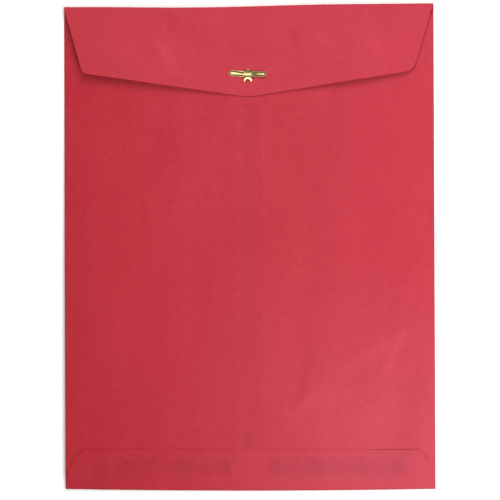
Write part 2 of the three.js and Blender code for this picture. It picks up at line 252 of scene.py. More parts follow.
# Creases: from, to, half width, height
BACK_CREASES = [
    ((31, -119), (44, -93), 3.2, 0.16), ((40, -104), (55, -112), 3.0, -0.10),
    ((110, -46), (87, -100), 5.5, 0.40), ((38, -48), (35, -108), 6.0, -0.25),
]
FLAP_CREASES = [
    ((-57, 158), (-49, 140), 6.0, -0.22), ((-64, 140), (-48, 118), 6.5, 0.30),
    ((29, 150), (38, 130), 5.0, -0.22), ((46, 137), (62, 136), 5.0, 0.18),
]

# Painted light and shade: lighter and darker streaks along the creases and bulges, and a glue stain at the
# seam's end: from, to, half width, how much lighter or darker the paper is
BACK_PAINTED_LIGHT_SHADE_AND_STAIN = [
    ((110, -50), (90, -92), 4.5, 0.09), ((118, -74), (105, -146), 14, -0.075),
    ((40, -103), (82, -97), 11, 0.045), ((44, -56), (33, -113), 9, -0.04),
    ((37, -86), (32, -117), 4.5, -0.05), ((100, -90), (84, -128), 8, 0.04),
    ((15, -66), (22, -86), 6, 0.04), ((29, -118), (48, -97), 3.0, 0.10),
    ((119, -6), (101, -62), 6, 0.03), ((-104, 84), (-88, 34), 15, 0.03),
    ((-24, 34), (-31, -66), 7, -0.025), ((-50, 92), (-63, -104), 8, -0.02),
    ((-14, 96), (-17, 6), 6, -0.02), ((58, 66), (76, -44), 11, 0.018),
    ((-1, -124), (-1, -139), 4, -0.09), ((-86, -20), (-92, -120), 9, 0.02),
    ((22, -40), (26, -80), 6, 0.02), ((112, -56), (56, -91), 7, 0.06),
]
FLAP_PAINTED_LIGHT_AND_SHADE = [
    ((-57, 167), (-47, 143), 8, -0.075), ((-64, 145), (-46, 114), 6, 0.07),
    ((-106, 138), (-66, 128), 15, 0.035), ((-47, 153), (-16, 133), 11, -0.05),
    ((-18, 141), (8, 131), 8, -0.05), ((28, 153), (37, 131), 5.5, -0.055),
    ((36, 150), (46, 131), 4.5, 0.05), ((42, 146), (63, 136), 6, 0.06),
    ((74, 153), (95, 128), 7, 0.045), ((63, 150), (74, 131), 6, -0.035),
]
# painted shadow: dark lines along the bottom flap's edge near both corners
BOTTOM_EDGE_PAINTED_SHADOW = [
    ((123.6, -151), (121.4, -140.4), 1.6, -0.14), ((122.7, -144.6), (117, -138.2), 1.6, -0.14),
    ((120.6, -139.2), (100, -138.1), 1.5, -0.12), ((-118, -139.6), (-90, -137.4), 1.5, -0.09),
    ((-124.4, -153), (-120.6, -141), 1.6, -0.13), ((-121.6, -142.8), (-113, -138), 1.6, -0.13),
]

# Glue that shows through the paper: a band in the seam, and a band with blots at places along the bottom flap
SEAM_SEEN = 0.34
SEAM_SEEN_LEFT = (-6, 1)
SEAM_SEEN_RIGHT = (11.2, 8.2)
BAND_SEEN = 0.42
BAND_BELOW_GLUE = 1.5
BLOT_SEEN = 0.72
BLOT_REACH = (7.5, 9.5)
BLOTS = [
    (-107, 0.7), (-85, 0.95), (-66, 0.25), (-47, 0.85), (-30, 0.25), (-14, 0.75), (17, 1.2),
    (31, 0.35), (46, 0.85), (60, 0.35), (75, 0.75), (89, 0.35), (102, 1.1),
]

# Colours
RED_DEEP = (0.562, 0.031, 0.049, 1.0)
# painted light and sheen: the colour that the paper is painted towards at the right and the lower right
# corner
RED_PALE_PAINTED_SHEEN = (0.622, 0.071, 0.104, 1.0)
# The flap and its fold are the same paper as the body, painted lighter and less pure: painted light and sheen
FLAP_DEEP_PAINTED_LIGHT = (0.594, 0.046, 0.066, 1.0)
FLAP_PALE_PAINTED_LIGHT = (0.598, 0.056, 0.098, 1.0)
PATCH_DEEP = (0.52, 0.048, 0.066, 1.0)
# the patch takes the same painted light and sheen as the paper
PATCH_PALE_PAINTED_SHEEN = (0.54, 0.060, 0.080, 1.0)
SEEN_GLUE_TINT = (0.82, 0.91, 0.95, 1.0)
GLUE_TONE = (0.50, 0.36, 0.18, 1.0)
GUM_TONE = (0.66, 0.40, 0.30, 1.0)
BRASS_TONE = (0.90, 0.77, 0.31, 1.0)
DULL_BRASS_TONE = (0.42, 0.33, 0.15, 1.0)
TARNISH_TONE = (0.58, 0.44, 0.16, 1.0)
DRAWN_TONE = (0.66, 0.54, 0.24, 1.0)
FLOOR_SEEN = (1.32, 1.31, 1.27, 1.0)
FLOOR_LIT = (0.55, 0.54, 0.53, 1.0)
WHITE = (1.0, 1.0, 1.0, 1.0)

# The paper's mottling: how far each noise swings its lightness, how strongly the painted light and shade of
# the creases shows, and how much of that is added as grey, which on the lighter creases is painted sheen
CLOUDS = 0.13
STREAKS = 0.08
BROAD_CLOUDS = 0.05
FIBRES = 0.07
PAINTED_SHADING_STRENGTH = 0.7
ADDED_GREY = 0.09
ADDED_GREY_OFFSET = -0.087

# The studio, in metres and degrees. The world is bright in a cone overhead: cosine from its axis, and level
FLOOR_HALF = 6.0
FLOOR_DROP = 0.00002
WORLD_AXIS = (-0.06, -0.02, 1.0)
WORLD_BASE = 0.0375
WORLD_LEVELS = [(0.45, 0.058), (0.80, 0.075), (0.93, 0.16), (0.972, 0.375), (0.995, 1.0)]
WORLD_STRENGTH = 2.4
TOP_LAMP = {"place": (0.13, 0.76, 0.68), "size": 0.70, "power": 5.8}
RIGHT_LAMP = {"place": (0.42, -0.30, 0.50), "size": 0.55, "power": 3.0}
CAMERA_LENS = 400.657
CAMERA_DISTANCE = 3.8
CAMERA_TARGET_MM = (0.576, -2.042, 0.0)
CAMERA_SIDEWAYS = 6.635
CAMERA_UPWARDS = -0.551
CAMERA_ROLL = -0.236


def smooth(t):
    """A smooth step from 0 at t = 0 to 1 at t = 1."""
    t = np.clip(t, 0.0, 1.0)
    return t * t * (3 - 2 * t)


def rise(value, start, end):
    """A smooth step from 0 at start to 1 at end, in either direction."""
    return smooth((value - start) / (end - start))


def bump(t):
    """1 at t = 0, falling smoothly to 0 at t = -1 and 1."""
    return smooth(1 - np.abs(t))


# Paper surfaces: heights over the table at x, y

def pocket_gap(x, y):
    """The space in the pocket: least at the folds, most in the middle of the mouth."""
    across = 1 - np.minimum(np.abs(x) / EDGE_X, 1) ** SIDE_ROUND
    along = 1 - np.clip((MOUTH_Y - y) / (MOUTH_Y - BOTTOM_Y), 0, 1) ** BOTTOM_ROUND
    return EDGE_GAP + SWELL * across * along


def crease(x, y, a, b, width, height):
    """A soft ridge from point a to point b, fading out at both ends."""
    ax, ay = a
    dx, dy = b[0] - ax, b[1] - ay
    length = math.hypot(dx, dy)
    along = ((x - ax) * dx + (y - ay) * dy) / length ** 2
    off = ((x - ax) * dy - (y - ay) * dx) / length
    return height * bump(off / width) * smooth(np.minimum(along, 1 - along) * 4)


def creased(x, y, lines):
    return sum(crease(x, y, *line) for line in lines)


def back_waves(x, y):
    """The back of the empty envelope isn't perfectly even: soft waves and a few creases."""
    away = smooth((EDGE_X - np.abs(x)) / SIDE_FADE) * smooth((y - BOTTOM_Y) / BOTTOM_FADE)
    away = away * rise(y, *BACK_FADE_ROWS)
    waves = BACK_WAVE * np.sin(x / 31 + y / 47 + 0.6) * np.cos(y / 38 - x / 90 + 1.1)
    waves += BACK_RIPPLE * np.sin(x / 17 - y / 29 + 2.0) * np.cos(y / 21 + 0.4)
    hump_x, hump_y = BACK_HUMP_PLACE
    reach_x, reach_y = BACK_HUMP_REACH
    waves += BACK_HUMP * bump(np.hypot((x - hump_x) / reach_x, (y - hump_y) / reach_y))
    return away * (waves + creased(x, y, BACK_CREASES))


def under_side(x, y):
    """Inner face of the right side panel."""
    return PAPER + pocket_gap(x, y) + back_waves(x, y)


def over_side(x, y):
    """Inner face of the left side panel, which climbs over the right one's edge."""
    climb = smooth((x - UNDER_EDGE + SEAM_RAMP + SEAM_RAMP_GAP) / SEAM_RAMP)
    press = EDGE_PRESS * smooth((x - OVER_EDGE) / EDGE_PRESS_WIDTH + 1)
    return under_side(x, y) + climb * SEAM_STEP - press


def bottom_flap_side(x, y):
    """Inner face of the bottom flap."""
    near_edge = smooth((y - BOTTOM_Y + BOTTOM_R - BOTTOM_FLAP_DEPTH + OPEN_EDGE_DEPTH) / OPEN_EDGE_DEPTH)
    stand_off = OPEN_EDGE * bump((x - OPEN_EDGE_X) / OPEN_EDGE_REACH)
    stand_off = (stand_off + OPEN_CORNER * rise(x, *OPEN_CORNER_COLUMNS)) * near_edge
    return under_side(x, y) + PAPER + SEAM_STEP + BOTTOM_GLUE_SPACE + stand_off


def flap_waves(x, y):
    """Soft waves and creases of the closure flap, which fade out at the clasp and at the fold."""
    from_clasp = np.hypot(x - CLASP_X, (y - CLASP_Y) * 1.2)
    away = smooth((from_clasp - CLASP_CALM) / CLASP_CALM_FADE) * smooth((FOLD_Y - y) / FLAP_FADE)
    waves = FLAP_WAVE + FLAP_WAVE * np.sin(x / 23 + y / 15) + FLAP_RIPPLE * np.sin(x / 11 - 1.0)
    return away * (waves + creased(x, y, FLAP_CREASES))


def end_drop(x):
    """The share of END_DROP at x: the flap's fold is lower at its ends, where the pocket is thin."""
    return (np.abs(x) / HALF_W) ** DROP_ROUND


def flap_side(x, y):
    """Inner face of the closure flap, which climbs from its fold onto the clasp."""
    down = np.maximum(FOLD_Y - y, 0) / (FOLD_Y - CLASP_Y)
    climb = (FLAP_CLASP - FLAP_LEVEL) * smooth(down / FLAP_CLIMB)
    drop = end_drop(x) * (END_DROP + RIGHT_SINK * smooth(down / RIGHT_SINK_SHARE) * (x > 0))
    lift = LEFT_LIFT * rise(x, *LEFT_LIFT_COLUMNS)
    lift = lift + RIGHT_LIFT * bump((x - RIGHT_LIFT_X) / RIGHT_LIFT_REACH)
    return FLAP_LEVEL + climb - drop + lift * down ** LIFT_ROUND + flap_waves(x, y)


def bowed(x, y, z):
    """A point of the evenly folded envelope, moved to where the bowed one has it."""
    top = -TOP_BOW * bump((x - TOP_BOW_X) / TOP_BOW_REACH) * rise(y, *TOP_BOW_ROWS)
    bottom = -BOTTOM_BOW * (1 - (x / HALF_W) ** 2) * rise(y, *BOTTOM_BOW_ROWS)
    lift = EDGE_LIFT * np.clip((EDGE_LIFT_FROM - x) / EDGE_LIFT_WIDTH, 0, 1) ** 2
    lift = lift * rise(y, *EDGE_LIFT_TOP_ROWS) * rise(y, *EDGE_LIFT_BOTTOM_ROWS)
    return np.stack([x, y + top + bottom, z + lift], axis=-1)


# Meshes

def make_object(name, points, faces, sharp=()):
    """A smooth-shaded object from points in millimetres; sharp names the edges that aren't smooth."""
    mesh = bpy.data.meshes.new(name)
    mesh.from_pydata([tuple(p) for p in np.asarray(points, float) * MM], [], faces)
    mesh.validate()
    mesh.polygons.foreach_set("use_smooth", [True] * len(mesh.polygons))
    wanted = {tuple(sorted(edge)) for edge in sharp}
    for edge in mesh.edges:
        if tuple(sorted(edge.vertices)) in wanted:
            edge.use_edge_sharp = True
    obj = bpy.data.objects.new(name, mesh)
    bpy.context.scene.collection.objects.link(obj)
    return obj


def face_outwards(obj):
    bm = bmesh.new()
    bm.from_mesh(obj.data)
    bmesh.ops.recalc_face_normals(bm, faces=bm.faces)
    bm.to_mesh(obj.data)
    bm.free()


def sharpen(obj, degrees):
    """Keeps an edge sharp where the surface turns by that angle or more."""
    limit = math.radians(degrees)
    bm = bmesh.new()
    bm.from_mesh(obj.data)
    for edge in bm.edges:
        edge.smooth = len(edge.link_faces) != 2 or edge.calc_face_angle() < limit
    bm.to_mesh(obj.data)
    bm.free()


def lattice(first, rows, columns, round_rows=False, round_columns=False):
    """Faces over rows of points that are numbered from first; round joins the last to the first."""
    faces = []
    for r in range(rows if round_rows else rows - 1):
        low, high = first + r * columns, first + (r + 1) % rows * columns
        for c in range(columns if round_columns else columns - 1):
            right = (c + 1) % columns
            faces.append((low + c, low + right, high + right, high + c))
    return faces


def close_sheet(name, inner, outer, faces, loops):
    """A sheet from the points and faces of both sides, closed along the loops that bound it."""
    n = len(inner)
    sharp = []
    for loop in loops:
        for a, b in zip(loop, loop[1:] + loop[:1]):
            faces.append((a, b, n + b, n + a))
            sharp += [(a, b), (n + a, n + b)]
    obj = make_object(name, np.concatenate([inner, outer]), faces, sharp)
    face_outwards(obj)
    return obj


def grid_sheet(name, us, vs, place):
    """A sheet over the grid us by vs; place gives the inner and the outer point of each (u, v)."""
    u, v = np.meshgrid(us, vs)
    inner, outer = place(u.ravel(), v.ravel())
    columns, rows = len(us), len(vs)
    n = columns * rows
    faces = []
    for face in lattice(0, rows, columns):
        faces.append(face[:1] + face[:0:-1])
        faces.append(tuple(n + i for i in face))
    rim = list(range(columns)) + [(r + 1) * columns - 1 for r in range(1, rows)]
    rim += [n - 1 - c for c in range(1, columns)] + [r * columns for r in range(rows - 2, 0, -1)]
    return close_sheet(name, inner, outer, faces, [rim])


def inside(points, loop):
    """Which points a closed loop goes round."""
    x, y = points[:, 0], points[:, 1]
    hit = np.zeros(len(points), bool)
    for (x0, y0), (x1, y1) in zip(loop, loop[1:] + loop[:1]):
        if y0 != y1:
            hit ^= ((y0 > y) != (y1 > y)) & (x < x0 + (y - y0) * (x1 - x0) / (y1 - y0))
    return hit


def clear_of(points, loop, gap):
    """Which points are more than gap away from a closed loop."""
    keep = np.ones(len(points), bool)
    for start, end in zip(loop, loop[1:] + loop[:1]):
        start = np.array(start)
        run = np.array(end) - start
        t = np.clip(((points - start) @ run) / max(run @ run, 1e-12), 0, 1)
        keep &= np.hypot(*(points - (start + t[:, None] * run)).T) > gap
    return keep


def cut_sheet(name, outline, holes, xs, ys, place, gap=0.5):
    """A sheet cut to an outline with holes; points of the grid xs by ys fill it up to gap from its edges."""
    grid = np.stack(np.meshgrid(xs, ys), axis=-1).reshape(-1, 2)
    keep = inside(grid, outline) & clear_of(grid, outline, gap)
    for hole in holes:
        keep &= ~inside(grid, hole) & clear_of(grid, hole, gap)
    points, edges, loops = [], [], []
    for loop in [outline, *holes]:
        ring = list(range(len(points), len(points) + len(loop)))
        points += loop
        edges += list(zip(ring, ring[1:] + ring[:1]))
        loops.append(ring)
    points += [tuple(p) for p in grid[keep]]
    made, _, faces, origins, _, _ = delaunay_2d_cdt([Vector(p) for p in points], edges, [], 2, 1e-7)
    index = {old: new for new, olds in enumerate(origins) for old in olds}
    flat = np.array([tuple(p) for p in made])
    centres = np.array([flat[list(face)].mean(axis=0) for face in faces])
    solid = np.ones(len(faces), bool)
    for hole in holes:
        solid &= ~inside(centres, hole)
    faces = [face for face, kept in zip(faces, solid) if kept]
    inner, outer = place(flat[:, 0], flat[:, 1])
    n = len(flat)
    both = [tuple(reversed(face)) for face in faces] + [tuple(n + i for i in face) for face in faces]
    return close_sheet(name, inner, outer, both, [[index[i] for i in loop] for loop in loops])


def resample(points, step):
    """Points along a closed outline, no further apart than step."""
    out = []
    for (x0, y0), (x1, y1) in zip(points, points[1:] + points[:1]):
        count = max(1, math.ceil(math.hypot(x1 - x0, y1 - y0) / step))
        out += [(x0 + (x1 - x0) * i / count, y0 + (y1 - y0) * i / count) for i in range(count)]
    return out


def rounded(a, corner, b, steps=10):
    """A quadratic curve from a to b, drawn towards the corner."""
    out = []
    for i in range(steps + 1):
        t = i / steps
        out.append(tuple((1 - t) ** 2 * a[k] + 2 * t * (1 - t) * corner[k] + t * t * b[k] for k in (0, 1)))
    return out


def circle(x, y, r, steps=48):
    angles = [2 * math.pi * i / steps for i in range(steps)]
    return [(x + r * math.cos(a), y + r * math.sin(a)) for a in angles]


def mirrored(points, middle=0.0):
    """The same points on the other side of a middle line, in reverse, so that an outline goes on."""
    return [(2 * middle - x, y) for x, y in reversed(points)]


def spaced(low, high, step, extra=()):
    """Even lines from low to high, no further apart than step, with extra ones instead of those near them."""
    lines = np.linspace(low, high, max(2, math.ceil((high - low) / step) + 1))
    lines = [v for v in lines if all(abs(v - e) > step * 0.3 for e in extra)]
    return np.array(sorted({*lines, *(e for e in extra if low <= e <= high)}))


# Grid lines of the sheets. TURN goes half round a fold, from -1 to 0
GRID = 2.6
FLAP_GRID = 2.4
BOTTOM_FLAP_GRID = 2.2
TURN = np.linspace(-1, 0, 9)
SEAM_RAMP_FROM = UNDER_EDGE - SEAM_RAMP - SEAM_RAMP_GAP
SEAM_LINES = [SEAM_RAMP_FROM + SEAM_RAMP * i / 6 for i in range(7)] + [UNDER_EDGE]
SEAM_LINES += [OVER_EDGE - EDGE_PRESS_WIDTH * i / 3 for i in range(4)]
ROWS = spaced(BOTTOM_Y, MOUTH_Y, GRID, (BOTTOM_Y, MOUTH_Y))
FLAP_XS = spaced(-HALF_W, HALF_W, FLAP_GRID)
FLAP_YS = spaced(TIP_Y, FOLD_Y, FLAP_GRID)


# Marks and glue that show on the paper

def mark(obj, marks=(), glue=None):
    """Stores how much lighter or darker the paper is painted, mostly painted light and shade of creases, and
    how much glue shows through, at each vertex.
    """
    points = np.array([v.co for v in obj.data.vertices]) / MM
    x, y = points[:, 0], points[:, 1]
    values = {"tone": 1 + creased(x, y, marks) if marks else np.ones(len(x)),
              "glue": glue(x, y) if glue else np.zeros(len(x))}
    for name, value in values.items():
        obj.data.attributes.new(name, "FLOAT", "POINT").data.foreach_set("value", value.astype(np.float32))
    return obj


def seam_glue_seen(x, y):
    """A band along the centre seam."""
    return SEAM_SEEN * rise(x, *SEAM_SEEN_LEFT) * rise(x, *SEAM_SEEN_RIGHT)


def bottom_glue_seen(x, y):
    """A faint band with darker blots under the bottom flap."""
    middle = BOTTOM_Y - BOTTOM_R + BOTTOM_GLUE_FROM + BOTTOM_GLUE_WIDTH / 2 - BAND_BELOW_GLUE
    band = rise(np.abs(y - middle), 0.72 * BOTTOM_GLUE_WIDTH, 0.37 * BOTTOM_GLUE_WIDTH)
    ends = rise(np.abs(x), BOTTOM_GLUE_INNER - 2, BOTTOM_GLUE_INNER + 3)
    ends = ends * rise(np.abs(x), BOTTOM_GLUE_OUTER + 1, BOTTOM_GLUE_OUTER - 5)
    reach_x, reach_y = BLOT_REACH
    blots = sum(level * bump(np.hypot((x - at) / reach_x, (y - middle) / reach_y)) for at, level in BLOTS)
    return np.clip(ends * (BAND_SEEN * band + BLOT_SEEN * blots), 0, 1)


# The folded blank

def build_front():
    """Between the side folds up to the mouth, the blank's full width above it."""
    def place(x, y):
        x = np.where(y > MOUTH_Y, x * HALF_W / EDGE_X, x)
        return bowed(x, y, np.full_like(x, PAPER)), bowed(x, y, np.zeros_like(x))

    xs = spaced(-EDGE_X, EDGE_X, GRID, (-EDGE_X, EDGE_X))
    return grid_sheet("front_sheet", xs, np.append(ROWS, [MOUTH_Y + PLY, FOLD_Y]), place)


def build_side(name, side, inner_edge, under):
    """A side panel: u < 0 runs round the fold at the long edge, u > 0 is the distance in from it."""
    def place(u, y):
        angle = (np.clip(u, -1, 0) + 0.5) * math.pi
        flat_x = side * (EDGE_X - np.maximum(u, 0))

        def layer(radius, lift):
            x = np.where(u >= 0, flat_x, side * (EDGE_X + radius * np.cos(angle)))
            z = np.where(u >= 0, under(flat_x, y) + lift, SIDE_R + radius * np.sin(angle))
            return bowed(x, y, z)

        return layer(SIDE_R - PAPER, 0), layer(SIDE_R, PAPER)

    reach = EDGE_X - side * inner_edge
    lines = [EDGE_X - side * x for x in SEAM_LINES]
    lines = [u for u in lines if 0 < u < reach - 0.1]
    us = np.concatenate([TURN[:-1], spaced(0, reach, GRID, (0, reach, *lines))])
    return grid_sheet(name, us, ROWS, place)


def bottom_flap_uneven(x):
    """How much further up the bottom flap's edge is; it isn't cut quite straight."""
    crest = BOTTOM_FLAP_CREST * bump((x - BOTTOM_FLAP_CREST_X) / BOTTOM_FLAP_CREST_REACH)
    return BOTTOM_FLAP_EXTRA + crest - BOTTOM_FLAP_FALL * rise(x, *BOTTOM_FLAP_FALL_COLUMNS)


def build_bottom_flap():
    """v < 0 runs round the bottom fold, v > 0 is the height above it."""
    def place(x, v):
        angle = (np.clip(v, -1, 0) + 0.5) * math.pi
        flat_y = BOTTOM_Y + np.maximum(v, 0)

        def layer(radius, lift):
            y = np.where(v >= 0, flat_y, BOTTOM_Y - radius * np.cos(angle))
            z = np.where(v >= 0, bottom_flap_side(x, flat_y) + lift, BOTTOM_R + radius * np.sin(angle))
            return bowed(x, y, z)

        return layer(BOTTOM_R - PAPER, 0), layer(BOTTOM_R, PAPER)

    top = BOTTOM_FLAP_DEPTH - BOTTOM_R
    corner = HALF_W - BOTTOM_FLAP_TAPER * BOTTOM_FLAP_DEPTH

    def rounded_corner(trim):
        return rounded((corner + BOTTOM_FLAP_TAPER * trim, top - trim), (corner, top), (corner - trim, top))

    right_end = [(HALF_W - BOTTOM_FLAP_END_INSET, v) for v in TURN]
    right = rounded_corner(BOTTOM_FLAP_CORNER)
    left = mirrored(rounded_corner(BOTTOM_FLAP_LEFT_CORNER))
    outline = resample([*mirrored(right_end), *right_end, *right, *left], GRID)
    outline = [(x, y + float(bottom_flap_uneven(x) * smooth(y / top))) for x, y in outline]
    ys = np.concatenate([TURN[1:], spaced(0, top, BOTTOM_FLAP_GRID)[1:]])
    xs = spaced(-HALF_W, HALF_W, GRID)
    return cut_sheet("bottom_flap_sheet", outline, [], xs, ys, place, gap=0.06)


def build_fold():
    """The half turn of the paper at the top fold."""
    def place(x, t):
        angle = (t - 0.5) * math.pi
        drawn = np.where(angle > 0, FLAP_TAPER * FOLD_DEPTH * (1 - np.cos(angle)), 0)
        end_x = x * (1 - drawn / HALF_W)
        middle = FOLD_HEIGHT - END_DROP / 2 * end_drop(end_x)

        def layer(inset):
            y = FOLD_Y + (FOLD_DEPTH - inset) * np.cos(angle)
            z = middle + (middle - inset) * np.sin(angle)
            return bowed(end_x, y, z)

        return layer(PAPER), layer(0.0)

    return grid_sheet("top_fold", spaced(-HALF_W, HALF_W, GRID), np.linspace(0, 1, 25), place)


def flap_outline():
    fold_x = HALF_W - FLAP_TAPER * FOLD_DEPTH
    tip_side = TIP_Y + TIP_TRIM * FLAP_SLOPE

    def corner(trim):
        inner = CORNER_X - trim, CORNER_Y - trim * FLAP_SLOPE
        return rounded(inner, (CORNER_X, CORNER_Y), (CORNER_X + FLAP_TAPER * trim, CORNER_Y + trim))

    tip = rounded((CLASP_X - TIP_TRIM, tip_side), (CLASP_X, TIP_Y), (CLASP_X + TIP_TRIM, tip_side))
    return [*mirrored(corner(LEFT_TRIM)), *tip, *corner(RIGHT_TRIM), (fold_x, FOLD_Y), (-fold_x, FOLD_Y)]


def build_flap():
    def place(x, y):
        low = flap_side(x, y)
        return bowed(x, y, low), bowed(x, y, low + PAPER)

    outline = resample(flap_outline(), FLAP_GRID)
    hole = circle(CLASP_X, HOLE_Y, HOLE_R)
    return cut_sheet("closure_flap_sheet", outline, [hole], FLAP_XS, FLAP_YS, place)


def under_flap(thickness):
    """The place function of a sheet of that thickness on the flap's inner face."""
    def place(x, y):
        high = flap_side(x, y) - PLY
        return bowed(x, y, high - thickness), bowed(x, y, high)
    return place


def build_patch():
    outer = circle(CLASP_X, HOLE_Y, PATCH_R, 72)
    hole = circle(CLASP_X, HOLE_Y, HOLE_R + 0.05)
    return cut_sheet("hole_patch", outer, [hole], FLAP_XS, FLAP_YS, under_flap(PATCH))


def build_gum(name, side, rng):
    """Dried gum with slightly uneven edges."""
    near = CLASP_X + side * GUM_INNER
    far = side * (CORNER_X - GUM_END)
    steps = 60
    xs = [near + (far - near) * i / steps for i in range(steps + 1)]
    wander = np.cumsum(rng.uniform(-GUM_WANDER, GUM_WANDER, (2, steps + 1)), axis=1)
    wander -= wander.mean(axis=1, keepdims=True)
    edge = [TIP_Y + FLAP_SLOPE * abs(x) + GUM_MARGIN for x in xs]
    low = [(x, y + w) for x, y, w in zip(xs, edge, wander[0])]
    high = [(x, y + GUM_WIDTH + w) for x, y, w in zip(xs, edge, wander[1])]
    return cut_sheet(name, resample(low + high[::-1], 2.0), [], FLAP_XS, FLAP_YS, under_flap(GUM))


def build_seam_glue():
    def place(x, y):
        low = under_side(x, y) + PAPER + PLY
        return bowed(x, y, low), bowed(x, y, low + SEAM_GLUE)

    xs = spaced(UNDER_EDGE + SEAM_GLUE_INSET, OVER_EDGE - SEAM_GLUE_INSET, GRID)
    return grid_sheet("seam_glue_line", xs, ROWS, place)


def build_bottom_glue(name, side, rng):
    """A strip of glue with slightly uneven edges."""
    def place(x, y):
        high = bottom_flap_side(x, y) - PLY
        return bowed(x, y, high - BOTTOM_GLUE), bowed(x, y, high)

    low_y = BOTTOM_Y - BOTTOM_R + BOTTOM_GLUE_FROM
    high_y = low_y + BOTTOM_GLUE_WIDTH
    length = BOTTOM_GLUE_OUTER - BOTTOM_GLUE_INNER
    steps = 48
    xs = [side * (BOTTOM_GLUE_INNER + length * i / steps) for i in range(steps + 1)]
    low = [(x, low_y + rng.uniform(-BOTTOM_GLUE_WANDER, BOTTOM_GLUE_WANDER)) for x in xs]
    high = [(x, high_y + rng.uniform(-BOTTOM_GLUE_WANDER, BOTTOM_GLUE_WANDER)) for x in xs]
    grid_xs, grid_ys = spaced(min(xs), max(xs), GRID), spaced(low_y, high_y, FLAP_GRID)
    return cut_sheet(name, low + high[::-1], [], grid_xs, grid_ys, place)


# The clasp. A prong is made along +X from its hinge line, with its middle at the height 0

def prong_loop(inset):
    """A line at a distance in from the prong's edge: along one side, round the tip and back."""
    r = PRONG_HALF - inset
    tip_x = PRONG_LENGTH - PRONG_HALF
    steps = 16
    xs = [PRONG_ROOT, -0.1] + [-0.02 + (tip_x + 0.02) * i / steps for i in range(steps)]
    tip = [(tip_x + r * math.cos(a), r * math.sin(a)) for a in np.linspace(-math.pi / 2, math.pi / 2, 15)]
    return [(x, -r) for x in xs] + tip + [(x, r) for x in reversed(xs)]


def prong_bend(side, x):
    """The left prong lies flat; the right one springs up towards its tip, and dips at its bend."""
    spring, dip = (SPRING, SPRING_DIP) if side > 0 else (0.0, 0.0)
    tip = TIP_DROP * smooth((x - PRONG_LENGTH + TIP_DROP_LENGTH) / TIP_DROP_LENGTH)
    return spring * max(x, 0.0) / PRONG_LENGTH - dip * smooth((0.15 - x) / 0.48) - tip


def ridge_section(inset):
    """Height of the coined ridge at a distance in from the prong's edge."""
    return RIDGE * np.clip((inset - 0.22) / 0.98, 0, 1) + RIDGE_CROWN * smooth((inset - 1.25) / 0.6)


def prong_ridge(side, x, y, inset):
    """The right ridge is low at the bend and climbs over a few millimetres, the left one gets narrower
    towards the bend."""
    if side > 0:
        climb = 0.25 + 0.75 * np.clip((x - 0.4) / 3.2, 0, 1)
        return ridge_section(inset) * climb * smooth((x + 0.1) / 0.5)
    worn = 0.45 if y < 0 else 0.2
    step = 0.2 + 0.8 * np.clip((x + 0.1) / 0.08, 0, 1)
    return ridge_section(inset - worn * (1 - np.clip(x / 7, 0, 1))) * step


def prong_rings(side):
    """Loops of points from the middle of the lower face out to the edge and in again over the upper face."""
    low, high = -METAL / 2, METAL / 2
    rings = []
    for inset in LOWER_INSETS:
        rings.append([(x, y, low + prong_bend(side, x)) for x, y in prong_loop(inset)])
    rings.append([(x, y, low + ROUND_BELOW + prong_bend(side, x)) for x, y in prong_loop(0.0)])
    for inset in UPPER_INSETS:
        edge = high - ROUND_ABOVE * smooth(1 - inset / ROUND_ABOVE_WIDTH)
        loop = prong_loop(inset)
        rings.append([(x, y, edge + prong_bend(side, x) + prong_ridge(side, x, y, inset)) for x, y in loop])
    return rings


def barrel_points():
    """Rings of points round the hinge line, a little thinner at both ends."""
    points = []
    for i in range(BARREL_ROWS + 1):
        y = -PRONG_HALF + PRONG_W * i / BARREL_ROWS
        r = BARREL_R * (1 - BARREL_WORN * (abs(y) / PRONG_HALF) ** 8)
        for j in range(BARREL_SIDES):
            a = 2 * math.pi * j / BARREL_SIDES
            points.append((r * math.cos(a), y, r * math.sin(a)))
    return points


def build_prong(name, side, yaw):
    rings = prong_rings(side)
    width = len(rings[0])
    points = [point for ring in rings for point in ring]
    faces = lattice(0, len(rings), width)
    # the two seams along the middle line, below and above
    for base in (0, (len(rings) - 1) * width):
        for j in range(width // 2):
            a, b = base + j, base + j + 1
            c, d = base + width - 2 - j, base + width - 1 - j
            if b < c:
                faces.append((a, b, c, d))
            elif b == c:
                faces.append((a, b, d))
    # the barrel with its two ends
    first = len(points)
    points += barrel_points()
    last = len(points) - 1
    faces += lattice(first, BARREL_ROWS + 1, BARREL_SIDES, round_columns=True)
    faces.append(tuple(range(first, first + BARREL_SIDES)))
    faces.append(tuple(range(last, last - BARREL_SIDES, -1)))
    # the root end, closed behind the barrel
    end_low = [i * width for i in range(len(rings))]
    end_high = [i * width + width - 1 for i in range(len(rings))]
    faces.append(tuple(end_low + end_high[::-1]))
    heading = math.radians(yaw if side > 0 else 180 - yaw)
    c, s = math.cos(heading), math.sin(heading)
    hinge_x, hinge_z = CLASP_X + side * PRONG_HINGE, PRONG_LEVEL + METAL / 2
    placed = [(hinge_x + x * c - y * s, CLASP_Y + x * s + y * c, hinge_z + z) for x, y, z in points]
    obj = make_object(name, placed, faces)
    face_outwards(obj)
    sharpen(obj, 30)
    return obj


def base_half_width(dy):
    """Half the width of the clasp's base at dy from its middle: the neck runs into a lug at each end."""
    t = abs(dy)
    lug = np.sqrt(np.maximum(LUG_R ** 2 - (t - LUG_SPACING / 2) ** 2, 0.0))
    if t >= LUG_SPACING / 2:
        return float(lug)
    narrower, start, length = NECK_BELOW if dy < 0 else NECK_ABOVE
    neck = FOOT_X - narrower * smooth((t - start) / length)
    mix = np.clip(0.5 + 0.5 * (lug - neck) / NECK_FILLET, 0, 1)
    return float(neck * (1 - mix) + lug * mix + NECK_FILLET * mix * (1 - mix))


